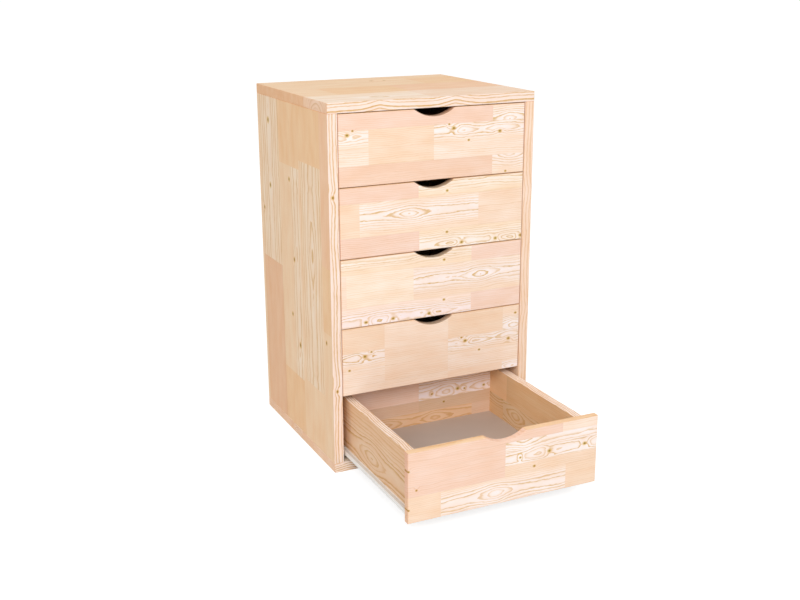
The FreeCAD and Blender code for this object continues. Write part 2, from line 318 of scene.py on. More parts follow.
# %% [markdown]
# A material can't hold a list, but a colour ramp with constant steps works as one: it has a stop
# for each stave of a row, and the stop's red, green, blue and alpha are four of its numbers. Three
# ramps then hold all that a stave needs. Each row of a board has its own three, and the point's
# place across the board picks the row.

# %% Rows of staves as ramps
STAVE_TABLES = ("colour", "heart", "rings")
# Where its darkest part and its shade end, in mm from the joint, and how dark it is.
GLUE_LINE = {"From Min": 0.1, "From Max": 0.5, "To Min": 0.93}


def stave_table(tree, position, staves, length, column):
    """A ramp along the row that gives each stave's numbers: three as its colour, one as alpha."""
    ramp = add_node(tree, "ValToRGB", {"Fac": position})
    ramp.color_ramp.interpolation = "CONSTANT"
    stops = ramp.color_ramp.elements
    stops.remove(stops[1])
    for number, stave in enumerate(staves):
        stop = stops[0] if number == 0 else stops.new(stave["start"] / length)
        stop.position = stave["start"] / length
        stop.color = stave[column]
    return ramp.outputs["Color"], ramp.outputs["Alpha"]


def stave_values(tree, along, across, rows, length):
    """Look up each table in the row that a point lies in."""
    position = add_node(tree, "Math", {0: along, 1: length}, operation="DIVIDE")
    found = {column: stave_table(tree, position, rows[0][1], length, column) for column in STAVE_TABLES}
    for (edge, _), (_, staves) in zip(rows, rows[1:]):
        past = add_node(tree, "Math", {0: across, 1: edge}, operation="GREATER_THAN")
        for column in STAVE_TABLES:
            before, before_alpha = found[column]
            after, after_alpha = stave_table(tree, position, staves, length, column)
            numbers = add_node(tree, "Mix", {0: past, 4: before, 5: after}, data_type="VECTOR")
            fourth = add_node(tree, "Mix", {0: past, 2: before_alpha, 3: after_alpha})
            found[column] = (numbers, fourth)
    return found


def glue_lines(tree, across, rows):
    """A factor that darkens the thin glue line between two rows."""
    shade = 1.0
    for edge, _ in rows[:-1]:
        gap = add_node(tree, "Math", {0: across, 1: edge}, operation="SUBTRACT")
        gap = add_node(tree, "Math", {0: gap}, operation="ABSOLUTE")
        dark = add_node(tree, "MapRange", {"Value": gap, **GLUE_LINE})
        shade = add_node(tree, "Math", {0: shade, 1: dark}, operation="MULTIPLY")
    return shade


print("numbers kept for each stave:", 4 * len(STAVE_TABLES))

# %% [markdown]
# ## Knots
#
# A small branch leaves an olive core with a golden rim. The wood close around it is pale,
# and the growth lines flow past on both sides. Each knot therefore gives four numbers: how much
# core, how much rim, how much pale ring, and how far the growth rings are pushed out. Most branches
# run through the board's thickness. One that comes out of an edge runs along the board's width.

# %% Lay the knots of a board
# Where each fade starts and ends, in knot radii, and its most: 0 to 1, or mm for the push.
KNOT_FADES = {"core": (0.3, 0.95, 1.0), "rim": (0.85, 1.8, 0.95), "halo": (1.6, 3.0, 0.35),
              "push": (1.0, 5.0, 3.5)}
# How much a distance along, across and into the board counts: less along it, where knots are
# longest, and nothing in the direction of the branch.
THROUGH, SIDEWAYS = (0.8, 1.0, 0.0), (0.8, 0.0, 1.0)


def knot_fields(tree, place, knots, edge_knots):
    """Core, rim and halo from 0 to 1, and the push on the rings in mm."""
    fields = {name: 0.0 for name in KNOT_FADES}
    for way, branches in ((THROUGH, knots), (SIDEWAYS, edge_knots)):
        seen = add_node(tree, "VectorMath", {0: place, 1: way}, operation="MULTIPLY")
        for along, beside, radius in branches:
            middle = [part * share for part, share in zip((along, beside, beside), way)]
            apart = add_node(tree, "VectorMath", {0: seen, 1: middle}, operation="DISTANCE")
            for name, (inner, outer, most) in KNOT_FADES.items():
                fade = add_node(tree, "MapRange", {
                    "Value": apart, "From Min": inner * radius, "From Max": outer * radius,
                    "To Min": most, "To Max": 0.0}, **SMOOTH)
                joined = "ADD" if name == "push" else "MAXIMUM"
                fields[name] = add_node(tree, "Math", {0: fields[name], 1: fade}, operation=joined)
    return fields


print("numbers from each knot:", list(KNOT_FADES))

# %% [markdown]
# ## The colour and surface of bare pine
#
# Pine that is planed, sanded and left bare is matt, with a faint sheen on the hard latewood.
# Its index of refraction is that of cellulose, about 1.53. The latewood takes the stave's own
# colour times a golden brown, and the wood right over the heart is paler and a little pink. Cut
# ends are darker. The upward cut faces of the four closed fronts' finger notches are darkened
# further: painted shade of the deep narrow gap above them. The lowest front's notch gets none.
# Real fibres are a few hundredths of a millimetre wide. This render's pixels are 1.7 mm wide, so the
# fibres are drawn as streaks about 1 mm wide and 40 mm long.

# %% Colour the wood
GOLDEN = (0.73, 0.58, 0.28)
HEART_LIFT = (1.01, 1.16, 1.42)
END_GRAIN = (0.93, 0.79, 0.70)
# The tint of the painted shade on the closed fronts' notch cut faces.
NOTCH_PAINTED_SHADE = (0.58, 0.54, 0.48)
KNOT_RIM = (0.83, 0.68, 0.34)
KNOT_CORE = (0.42, 0.39, 0.15)
DRIFT = ((60, 20, 20), 0.26, 1.5)
DRIFT_TINT = (0.3, 1.0, 1.8)
FIBRES = ((40, 1.1, 1.1), 1.0, 3.0)
FIBRE_CONTRAST = 0.1


def tinted(tree, amount, colour, tint):
    """The colour, multiplied by the tint where the amount is 1."""
    full = add_node(tree, "VectorMath", {0: colour, 1: tint}, operation="MULTIPLY")
    return add_node(tree, "Mix", {0: amount, 4: colour, 5: full}, data_type="VECTOR")


def wood_colour(tree, place, staves, rings, knots, glue, end_grain, painted_notch_shade, seed):
    """Mix stave colour, heart paleness, end grain, painted notch shade, latewood, fibres, knots and glue
    lines.
    """
    tone, lines = staves["colour"]
    drift = stretched_noise(tree, place, (seed * 7.0, seed, seed), *DRIFT)
    warm = add_node(tree, "CombineXYZ", {0: drift, 1: drift, 2: drift})
    warm = add_node(tree, "VectorMath", {0: warm, 1: DRIFT_TINT, 2: (1.0, 1.0, 1.0)},
                    operation="MULTIPLY_ADD")
    tone = add_node(tree, "VectorMath", {0: tone, 1: warm}, operation="MULTIPLY")
    heart = add_node(tree, "Math", {0: rings.outputs["Paleness"], 1: lines}, operation="MULTIPLY")
    heart = add_node(tree, "Math", {0: heart, 1: knots["halo"]}, operation="MAXIMUM")
    # The tints include the painted shade on the notches' cut faces.
    for amount, tint in ((heart, HEART_LIFT), (end_grain, END_GRAIN), (painted_notch_shade, NOTCH_PAINTED_SHADE)):
        tone = tinted(tree, amount, tone, tint)
    fibre = stretched_noise(tree, place, (0.0, 0.0, 0.0), *FIBRES)
    streak = add_node(tree, "Math", {0: fibre, 1: FIBRE_CONTRAST, 2: 1.0}, operation="MULTIPLY_ADD")
    streak = add_node(tree, "Math", {0: streak, 1: glue}, operation="MULTIPLY")
    colour = add_node(tree, "VectorMath", {0: tone, "Scale": streak}, operation="SCALE")
    clear = add_node(tree, "Math", {0: 1.0, 1: knots["halo"]}, operation="SUBTRACT")
    shown = add_node(tree, "Math", {0: rings.outputs["Latewood"], 1: lines}, operation="MULTIPLY")
    shown = add_node(tree, "Math", {0: shown, 1: clear}, operation="MULTIPLY")
    for amount, tint in ((shown, GOLDEN), (knots["rim"], KNOT_RIM), (knots["core"], KNOT_CORE)):
        colour = tinted(tree, amount, colour, tint)
    return colour, shown, fibre


print("latewood is darkest in blue:", min(GOLDEN))

# %% [markdown]
# A board's material is built from these parts. The grain says which of the solid's axes runs along
# the staves, which across them and which into the board. Planed earlywood wears a little lower
# than the hard lines, which a bump of a few hundredths of a millimetre shows.

# %% Dress one board
GRAIN_AXES = {"across a front": (0, 2, 1), "across a flat board": (0, 1, 2),
              "front to back": (1, 2, 0), "upright": (2, 1, 0)}
CELLULOSE_IOR = 1.53
BARE_WOOD_SPECULAR = 0.15
# How high the latewood stands, in heights of a fibre, and how deep the whole relief is, in mm.
LINE_RELIEF = 0.8
RELIEF_DEPTH = 0.06
# How far up a face has to look to count as a notch's cut face that gets painted shade, a little and fully.
NOTCH_SHADE_SLOPES = {"From Min": 0.2, "From Max": 0.5}


def dress_in_pine(node_name, grain, rows, knots=(), edge_knots=(), seed=0.0, painted_notch_shade_below=0.0):
    """Lay staves and knots, in mm from the board's lowest corner, on one CAD board."""
    low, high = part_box(node_name)
    first, second, third = GRAIN_AXES[grain]
    length = (high[first] - low[first]) / MM
    material, tree, shader = new_material("pine " + node_name.replace("_", " "))
    here = add_node(tree, "TexCoord").outputs["Object"]
    here = add_node(tree, "VectorMath", {0: here, 1: low}, operation="SUBTRACT")
    here = add_node(tree, "VectorMath", {0: here, "Scale": 1 / MM}, operation="SCALE")
    axes = add_node(tree, "SeparateXYZ", {0: here}).outputs
    along, across = axes[first], axes[second]
    place = add_node(tree, "CombineXYZ", {0: along, 1: across, 2: axes[third]})
    staves = stave_values(tree, along, across, rows, length)
    fields = knot_fields(tree, place, knots, edge_knots)
    rings = add_node(tree, "Group", {
        "Place": place, "Heart": staves["heart"][0], "Rings": staves["rings"][0],
        "Eye length": staves["rings"][1], "Seed": staves["heart"][1], "Swell": fields["push"]},
        node_tree=figure)
    glue = glue_lines(tree, across, rows)
    normal = add_node(tree, "SeparateXYZ", {0: add_node(tree, "NewGeometry").outputs["True Normal"]})
    end_grain = add_node(tree, "Math", {0: normal.outputs[first]}, operation="ABSOLUTE")
    # Painted shade: a notch's upward cut faces below the given height are darkened as if shaded by the gap
    # above.
    upward = add_node(tree, "MapRange", {"Value": normal.outputs[second], **NOTCH_SHADE_SLOPES})
    lower = add_node(tree, "Math", {0: across, 1: painted_notch_shade_below}, operation="LESS_THAN")
    painted_notch_shade = add_node(tree, "Math", {0: upward, 1: lower}, operation="MULTIPLY")
    colour, shown, fibre = wood_colour(tree, place, staves, rings, fields, glue, end_grain, painted_notch_shade, seed)
    height = add_node(tree, "Math", {0: shown, 1: LINE_RELIEF, 2: fibre}, operation="MULTIPLY_ADD")
    bump = add_node(tree, "Bump", {"Height": height, "Strength": 0.4, "Distance": RELIEF_DEPTH * MM})
    rough = add_node(tree, "MapRange", {"Value": shown, "To Min": 0.6, "To Max": 0.48})
    fill_inputs(tree, shader, {"Base Color": colour, "Roughness": rough, "Normal": bump,
                               "IOR": CELLULOSE_IOR, "Specular IOR Level": BARE_WOOD_SPECULAR})
    dress([node_name], material)


print("grain directions:", list(GRAIN_AXES))

# %% [markdown]
# Boards that the photograph doesn't show get rows that are drawn by lot, with a fixed seed
# so that every run lays the same board: 44 to 62 mm wide staves, 150 to 320 mm long, as such
# board is sold.

# %% Rows by lot
STAVE_WIDTHS = (44, 62)
STAVE_LENGTHS = (150, 320)
NARROWEST_STAVE = 18
FIGURED_SHARE = 0.45


def rows_by_lot(width, length, seed):
    """Rows of staves as a glueing press would fill them."""
    draw = random.Random(seed)
    rows = []
    edge = 0.0
    while edge < width:
        edge += draw.uniform(*STAVE_WIDTHS)
        if width - edge < NARROWEST_STAVE:
            edge = width + 1
        staves = []
        start = 0.0
        while start < length:
            number = seed + len(rows) * 3.7 + len(staves) * 1.9
            if draw.random() < FIGURED_SHARE:
                staves.append(figured(start, draw.choice((STRAW, CREAM)), number,
                                      start + draw.uniform(40, 160), edge - draw.uniform(15, 45),
                                      depth=draw.uniform(2, 8), lines=draw.uniform(0.6, 0.9)))
            else:
                staves.append(plain(start, draw.choice((PINK, ROSE, TAN, HONEY)), number,
                                    draw.uniform(0.12, 0.3)))
            start += draw.uniform(*STAVE_LENGTHS)
        rows.append((edge, staves))
    return rows


def knots_by_lot(width, length, seed, count):
    """A few knots for a board that no picture shows."""
    draw = random.Random(seed)
    return [(draw.uniform(10, length - 10), draw.uniform(8, width - 8), draw.uniform(1.6, 3.2))
            for _ in range(count)]


print("a board by lot has", len(rows_by_lot(367, 630, 61)), "rows")

# %% [markdown]
# ## The five fronts
#
# Each front is cut from such a board with its grain across the drawer. A row is written as its
# upper edge and its staves, a knot as its place and its radius, all in mm from the front's lower
# left corner. Listed one by one, every front has its own face. A last row, above the face, is the
# narrow top edge, which shows straight honey-coloured wood.

# %% Lay the fronts
FACE_TOP = 123.5
PAST_THE_BOARD = 900
fronts = {
    1: ([(35, [plain(0, BISCUIT, 1.3), figured(296, PALE, 2.2, 331, 35, depth=4)]),
         (62, [plain(0, PALE, 3.1, 0.4), plain(54, TAN, 3.6, 0.3), plain(179, PALE, 3.9, 0.4)]),
         (96, [figured(0, PALE, 3.4, 10, 84, swelling=5, reach=24), plain(54, TAN, 4.1, 0.3)] +
          with_eyes(179, PALE, 5.7, (239, 313), 84, swelling=5, reach=24)),
         (FACE_TOP, [plain(0, PINK, 6.2), figured(296, PALE, 7.9, 331, 98, depth=4)])],
        [(16, 88, 2.8), (26, 95, 1.6), (218, 88, 2.8), (209, 95, 1.6), (311, 77, 2.6), (248, 65, 1.8),
         (324, 4, 1.8)]),
    2: ([(36, [plain(0, PINK, 8.3, 0.35)] +
          with_eyes(150, CREAM, 9.6, (215, 337), 8, swelling=5, reach=30)),
         (96, [plain(0, TAN, 10.2), figured(36, PALE, 11.5, 131, 70), plain(269, PEACH, 12.8, 0.3)]),
         (FACE_TOP, [plain(0, PINK, 13.1), figured(149, CREAM, 14.4, 60, 128, depth=6, lines=0.8)])],
        [(236, 7, 2.6), (306, 7, 2.6), (359, 7, 2.4), (206, 29, 2.0), (206, 104, 2.0)]),
    3: ([(36, with_eyes(0, PETAL, 15.2, (72, 191), 8, swelling=5, reach=30) + [plain(256, BLUSH, 16.6)]),
         (96, [plain(0, PALE, 17.3), plain(9, LIGHT, 17.9, 0.3), figured(139, PALE, 18.5, 276, 70)]),
         (FACE_TOP, [figured(0, CREAM, 19.7, 300, 128, depth=6, lines=0.8), plain(256, BLUSH, 20.9)])],
        [(46, 7, 2.6), (99, 7, 2.6), (171, 7, 2.6), (201, 29, 2.0), (201, 104, 2.0)]),
    4: ([(15, [plain(0, PALE, 21.2), plain(209, PEACH, 21.7), figured(326, PALE, 22.4, 350, 5)]),
         (46, [plain(0, PALE, 22.9, 0.35), plain(81, PEACH, 23.1, 0.3), plain(209, PALE, 23.3, 0.35)]),
         (78, [figured(0, PALE, 23.8, 28, 68, swelling=5, reach=22), plain(81, PEACH, 24.1, 0.3)] +
          with_eyes(209, PALE, 25.5, (268, 341), 67, swelling=5, reach=22)),
         (FACE_TOP, [plain(0, TAN, 26.1), plain(81, PALE, 26.4), plain(209, TAN, 26.9),
                     figured(326, PALE, 27.3, 350, 84, depth=4)])],
        [(43, 69, 2.8), (56, 76, 1.6), (13, 47, 1.9), (246, 69, 2.8), (238, 76, 1.6), (276, 47, 1.9),
         (339, 60, 2.6), (353, 109, 2.0)]),
    5: ([(46, [plain(0, TAN, 28.6), figured(59, PALE, 29.9, 163, 20), plain(298, TAN, 30.7)]),
         (65, [plain(0, PINK, 31.1, 0.35), plain(179, TAN, 31.6, 0.4)]),
         (89, [plain(0, PINK, 31.4)] + with_eyes(179, PALE, 32.2, (243, 370), 77, swelling=6, reach=30)),
         (107, [plain(0, PINK, 31.9), figured(179, PALE, 32.7, 216, 107, depth=4, swelling=9, reach=50)]),
         (FACE_TOP, [plain(0, PINK, 33.8), plain(290, PALE, 34.4)])],
        [(1, 92, 1.7), (1, 24, 1.6), (15, 57, 1.6), (265, 77, 2.8), (208, 76, 1.8), (336, 77, 2.8),
         (236, 55, 2.0)]),
}
for number, (rows, knots) in fronts.items():
    rows.append((PAST_THE_BOARD, [plain(0, HONEY, 30.0 + number, 0.5),
                                  plain(190, AMBER, 40.0 + number, 0.5)]))
    # The four closed fronts get painted shade on their notches' cut faces, the open fifth none.
    dress_in_pine("drawer_%d_front" % number, "across a front", rows, knots, seed=number,
                  painted_notch_shade_below=0.0 if number == 5 else FACE_TOP - 0.5)
print("fronts laid:", len(fronts))

# %% [markdown]
# ## The cabinet's boards
#
# The sides stand with their grain upright, and the top and bottom run across the cabinet, all
# with their front edge as the first millimetre of the first row. That edge was cut near the
# heart on most boards, so strong golden lines run along it. The left side, the top and the
# bottom's front edge follow the photograph. The rest of the bottom is listed one by one too, and
# the right side is drawn by lot.

# %% Lay the cabinet's boards
FRONT_EDGE = 0.9
SIDE_HEIGHT, SIDE_DEPTH = 630, 367

dress_in_pine("side_board_left", "upright", [
    (FRONT_EDGE, with_eyes(0, SAPWOOD, 35.5, (150, 330, 500), 0, depth=20, swelling=3, width=5.6,
                           reach=NO_FADE, lines=1.5, eye_length=40)),
    (40, [plain(0, STRAW, 36.2, 0.35), plain(240, HONEY, 36.5, 0.4), plain(360, ROSE, 36.9)]),
    (145, [plain(0, STRAW, 37.4),
           figured(118, STRAW, 38.8, 367, 87, depth=4, swelling=15, width=10.0, reach=80, eye_length=40),
           plain(530, HONEY, 39.1)]),
    (190, [plain(0, HONEY, 40.3)] +
     with_eyes(110, STRAW, 41.6, (166, 350), 165, depth=5, swelling=4, width=9.0, reach=38) +
     [plain(512, HONEY, 42.2)]),
    (250, [plain(0, HONEY, 40.9), plain(110, STRAW, 41.1, 0.4), plain(512, HONEY, 42.8)]),
    (355, [plain(0, RUSSET, 43.7)] +
     with_eyes(312, STRAW, 44.3, (460, 585), 302, depth=6, swelling=6, width=10.0, reach=90)),
    (PAST_THE_BOARD, [plain(0, STRAW, 45.8, 0.4)])],
    [(340, 182, 3.4), (177, 163, 4.0), (489, 197, 3.2), (229, 200, 3.0), (585, 305, 4.2), (460, 305, 3.8),
     (409, 345, 3.0), (223, 27, 3.0)], [(489, 7, 2.4), (139, 8, 2.2)], seed=6)
dress_in_pine("top_board", "across a flat board", [
    (FRONT_EDGE, with_eyes(0, SAPWOOD, 46.5, (95, 238), 0, depth=20, swelling=8, width=6.2,
                           reach=NO_FADE, lines=1.5, eye_length=26)),
    (110, [figured(0, CREAM, 47.9, 120, 50, depth=9, width=8.0, reach=60, lines=0.5),
           plain(200, TAN, 48.3, 0.3)]),
    (213, [plain(0, STRAW, 49.6), plain(65, HONEY, 50.2), plain(205, ROSE, 51.1)]),
    (320, [plain(0, STRAW, 52.7, 0.35), plain(290, HONEY, 53.5, 0.35)]),
    (PAST_THE_BOARD, [plain(0, STRAW, 54.2)])],
    [(215, 305, 3.4), (240, 300, 2.6)], seed=7)
dress_in_pine("side_board_right", "upright", [
    (FRONT_EDGE, with_eyes(0, SAPWOOD, 66.1, (240, 470), 14, depth=26, swelling=5, width=6.0,
                           reach=NO_FADE, lines=0.5))] +
    rows_by_lot(SIDE_DEPTH, SIDE_HEIGHT, 61), knots_by_lot(SIDE_DEPTH, SIDE_HEIGHT, 62, 7), seed=8)
dress_in_pine("bottom_board", "across a flat board", [
    (FRONT_EDGE, with_eyes(0, SAPWOOD, 65.5, (30, 290), 0, depth=20, swelling=4, width=4.2,
                           reach=NO_FADE, lines=1.4)),
    (88, [plain(0, LIGHT, 67.2), figured(240, STRAW, 67.9, 330, 40)]),
    (160, [plain(0, CREAM, 68.3), plain(180, HONEY, 68.8)]),
    (232, [figured(0, CREAM, 69.5, 120, 190), plain(260, HONEY, 69.9)]),
    (305, [plain(0, CREAM, 70.4), plain(150, ROSE, 70.8)]),
    (PAST_THE_BOARD, [plain(0, CREAM, 71.1), figured(210, CREAM, 71.6, 300, 335)])],
    [(60, 215, 2.4), (322, 61, 2.8), (188, 340, 2.0)], seed=9)
print("pine boards so far:", sum(item.name.startswith("pine") for item in bpy.data.materials))

# %% [markdown]
# ## The drawer boxes
#
# The box of the open drawer is in full view, so its boards are listed one by one too. Its darker
# tones are partly the wood's own and partly painted shade of the open drawer, and the pale top
# row of its back is painted light where the drawer above shades it. Its sides get a last row for
# their top edge, again with strong lines. The other four boxes are cut from the same stock as the
# cabinet, by lot.

# %% Lay the drawer boxes
TOP_EDGE = 111.6
BOX_HEIGHT, BOX_DEPTH, BOX_WIDTH = 112, 330, 315
top_edge_staves = with_eyes(0, SAPWOOD, 56.8, (60, 190, 300), TOP_EDGE, depth=20, swelling=3, width=4.4,
                            reach=NO_FADE, lines=1.4)
long_eye = {"depth": 4, "swelling": 16, "width": 6.5, "lines": 0.85, "eye_length": 40}

# The darker tones of this box are partly the wood's own and partly painted shade.
dress_in_pine("drawer_5_side_left", "front to back", [
    (62, [figured(0, UMBER_WITH_PAINTED_SHADE, 55.4, 158, 42, reach=80, **long_eye)]),
    (TOP_EDGE, [figured(0, UMBER_WITH_PAINTED_SHADE, 56.1, 158, 42, reach=90, **long_eye)]),
    (PAST_THE_BOARD, top_edge_staves)], seed=10)
dress_in_pine("drawer_5_side_right", "front to back", [
    (58, [figured(0, TOFFEE_WITH_PAINTED_SHADE, 57.3, 216, 40, depth=4, swelling=12, width=5.5, reach=50, lines=0.9),
          figured(261, TOFFEE_WITH_PAINTED_SHADE, 58.2, 290, 60, width=5.5)]),
    (TOP_EDGE, [plain(0, TOFFEE_WITH_PAINTED_SHADE, 59.6, 0.35), plain(250, AMBER, 59.9)]),
    (PAST_THE_BOARD, top_edge_staves)], seed=11)
dress_in_pine("drawer_5_back", "across a front", [
    (40, with_eyes(0, UMBER_WITH_PAINTED_SHADE, 60.4, (90, 190), 24, width=4.5, reach=60, lines=0.65) +
     [plain(270, DUSK_WITH_PAINTED_SHADE, 61.7)]),
    (63, [plain(0, DUSK_WITH_PAINTED_SHADE, 62.5), plain(155, SHADE, 63.1)]),
    # Painted light: this pale top row stands in for light where the drawer above shades the back.
    (PAST_THE_BOARD, [plain(0, BLUSH, 62.9)] +
     with_eyes(155, PETAL, 64.6, (215, 300), 73, width=4.5, reach=55, lines=1.2))],
    [(239, 75, 3.0), (254, 73, 1.8), (183, 73, 1.8), (297, 73, 2.2), (209, 53, 1.8)], seed=12)
for number in range(1, 5):
    for side, lot in (("left", 71), ("right", 81)):
        dress_in_pine("drawer_%d_side_%s" % (number, side), "front to back",
                      rows_by_lot(BOX_HEIGHT, BOX_DEPTH, lot + number), seed=lot + number)
    dress_in_pine("drawer_%d_back" % number, "across a front",
                  rows_by_lot(BOX_HEIGHT, BOX_WIDTH, 91 + number), seed=number)
print("pine boards in all:", sum(item.name.startswith("pine") for item in bpy.data.materials))

# %% [markdown]
# ## Hardboard: the back panel and the drawer bottoms
#
# Hardboard is wood fibre that was pressed hot against a wire screen. One face comes out smooth and
# gets a coat of warm grey paint, and the other keeps the print of the screen. Which face a
# point lies on is read from its normal, so that the cut edges show bare fibre by themselves.

# %% Hardboard
# All in mm.
SCREEN_PITCH = 2.5
FIBRE_SIZE = 2.0
PAINT_PORE_SIZE = 4.0
PAINT_CLOUD_SIZE = 90
HARDBOARD_RELIEF = 0.12


def place_in_mm(tree, scale=(1.0, 1.0, 1.0)):
    """The point in mm, stretched by these factors."""
    place = add_node(tree, "TexCoord").outputs["Object"]
    return add_node(tree, "VectorMath", {0: place, 1: [part / MM for part in scale]}, operation="MULTIPLY")


def screen_print(tree, place, first, second):
    """The print of a woven screen, as a product of two waves; 1.3 mm in truth, drawn coarser."""
    turns = add_node(tree, "VectorMath", {0: place, "Scale": 2 * math.pi / SCREEN_PITCH}, operation="SCALE")
    axes = add_node(tree, "SeparateXYZ", {0: turns}).outputs
    waves = [add_node(tree, "Math", {0: axes[axis]}, operation="SINE") for axis in (first, second)]
    return add_node(tree, "Math", {0: waves[0], 1: waves[1]}, operation="MULTIPLY")


def dress_in_hardboard(name, node_names, painted_side, first, second):
    """Grey paint on the side that this normal points to, brown fibre elsewhere."""
    material, tree, shader = new_material(name)
    place = place_in_mm(tree)
    normal = add_node(tree, "NewGeometry").outputs["True Normal"]
    facing = add_node(tree, "VectorMath", {0: normal, 1: painted_side}, operation="DOT_PRODUCT")
    painted = add_node(tree, "Math", {0: facing.outputs["Value"], 1: 0.5}, operation="GREATER_THAN")
    fibre, pores, clouds = [
        add_node(tree, "TexNoise", {"Vector": place, "Scale": 1 / size, "Detail": detail})
        for size, detail in ((FIBRE_SIZE, 4.0), (PAINT_PORE_SIZE, 3.0), (PAINT_CLOUD_SIZE, 2.0))]
    brown = add_node(tree, "Mix", {0: fibre, 6: opaque("85664A"), 7: opaque("B99773")}, data_type="RGBA")
    grey = add_node(tree, "Mix", {0: clouds, 6: opaque("BBACA2"), 7: opaque("C7B8AD")}, data_type="RGBA")
    colour = add_node(tree, "Mix", {0: painted, 6: brown, 7: grey}, data_type="RGBA")
    printed = add_node(tree, "Math", {0: fibre, 1: screen_print(tree, place, first, second)},
                       operation="ADD")
    height = add_node(tree, "Mix", {0: painted, 2: printed, 3: pores})
    rough = add_node(tree, "MapRange", {"Value": painted, "To Min": 0.85, "To Max": 0.5})
    bump = add_node(tree, "Bump", {"Height": height, "Strength": 0.5, "Distance": HARDBOARD_RELIEF * MM})
    fill_inputs(tree, shader, {"Base Color": colour, "Roughness": rough, "Normal": bump})
    dress(node_names, material)


drawer_bottoms = ["drawer_%d_bottom" % number for number in range(1, 6)]
dress_in_hardboard("hardboard painted grey on top", drawer_bottoms, (0, 0, 1), 0, 1)
dress_in_hardboard("hardboard painted grey in front", ["back_panel"], (0, -1, 0), 0, 2)
print("hardboard panels:", len(drawer_bottoms) + 1)

# %% [markdown]
# ## Powder coat: the bent runners
#
# The runners are 1.2 mm steel, bent and then powder coated white. Powder melts to a thick film with
# a slight orange peel, some 1.5 mm from dimple to dimple. Where the rollers run the
# coat is polished and carries a grey track. The tracks lie at the same place in every
# channel, so the distance from the cabinet's middle tells where they are.

# %% White powder coat with roller tracks
# All in mm, but for the smears, which are counted per mm across, along and up.
TRACK_MIDDLE = 174.6
TRACK_HALF_WIDTH = 3.1
TRACK_SOFT_EDGE = 0.8
PEEL_SIZE = 1.5
PEEL_DEPTH = 0.05
SMEAR_SCALE = (1.2, 0.03, 1.0)


def dress_in_powder_coat(node_names):
    """White coat with an orange peel, greyed and polished along the roller tracks."""
    material, tree, shader = new_material("white powder coated steel")
    place = place_in_mm(tree)
    off_track = add_node(tree, "SeparateXYZ", {0: place}).outputs[0]
    for operation, other in (("ABSOLUTE", 0.0), ("SUBTRACT", TRACK_MIDDLE), ("ABSOLUTE", 0.0)):
        off_track = add_node(tree, "Math", {0: off_track, 1: other}, operation=operation)
    in_track = add_node(tree, "MapRange", {
        "Value": off_track, "From Min": TRACK_HALF_WIDTH - TRACK_SOFT_EDGE,
        "From Max": TRACK_HALF_WIDTH, **FALLING}, **SMOOTH)
    normal = add_node(tree, "SeparateXYZ", {0: add_node(tree, "NewGeometry").outputs["True Normal"]})
    level = add_node(tree, "Math", {0: normal.outputs[2]}, operation="ABSOLUTE")
    in_track = add_node(tree, "Math", {0: in_track, 1: level}, operation="MULTIPLY")
    smear_at = add_node(tree, "VectorMath", {0: place, 1: SMEAR_SCALE}, operation="MULTIPLY")
    smears = add_node(tree, "TexNoise", {"Vector": smear_at, "Scale": 1.0, "Detail": 3.0})
    worn = add_node(tree, "Math", {0: in_track, 1: smears}, operation="MULTIPLY")
    colour = add_node(tree, "Mix", {0: worn, 6: opaque("EFEDE9"), 7: opaque("B9B8B5")}, data_type="RGBA")
    peel = add_node(tree, "TexNoise", {"Vector": place, "Scale": 1 / PEEL_SIZE, "Detail": 1.0})
    rough = add_node(tree, "MapRange", {"Value": worn, "To Min": 0.38, "To Max": 0.22})
    bump = add_node(tree, "Bump", {"Height": peel, "Strength": 0.35, "Distance": PEEL_DEPTH * MM})
    fill_inputs(tree, shader, {"Base Color": colour, "Roughness": rough, "Normal": bump})
    dress(node_names, material)


runner_nodes = [name for name in nodes if "runners" in name]
dress_in_powder_coat(runner_nodes)
print("runner nodes:", len(runner_nodes))

# %% [markdown]
# ## Nylon, zinc and beech: rollers, pins and dowels
#
# The rollers are moulded from natural nylon, milky white and softly glossy. A faint
# mottle comes from the crystals of the cooling melt. The pins are steel with a thin zinc plating,
# whose own crystals leave a slight mottle too. The dowels are beech, which shows short dark
# flecks along the grain, about 2 mm long. One noise can draw all three, stretched and scaled to
# the size of the crystals or the flecks.

# %% Small parts
NYLON_IOR = 1.53


def mottled(name, low_colour, high_colour, scale, rough_range, bump_depth, detail=2.0):
    """A finish whose colour, gloss and height follow one noise, stretched to the structure."""
    material, tree, shader = new_material(name)
    noise = add_node(tree, "TexNoise", {"Vector": place_in_mm(tree, scale), "Scale": 1.0, "Detail": detail})
    patch = add_node(tree, "MapRange", {"Value": noise, "From Min": 0.3, "From Max": 0.7})
    colour = add_node(tree, "Mix", {0: patch, 6: opaque(low_colour), 7: opaque(high_colour)},
                      data_type="RGBA")
    rough = add_node(tree, "MapRange", {"Value": patch, "To Min": rough_range[0], "To Max": rough_range[1]})
    bump = add_node(tree, "Bump", {"Height": noise, "Strength": 0.5, "Distance": bump_depth * MM})
    fill_inputs(tree, shader, {"Base Color": colour, "Roughness": rough, "Normal": bump})
    return material, shader


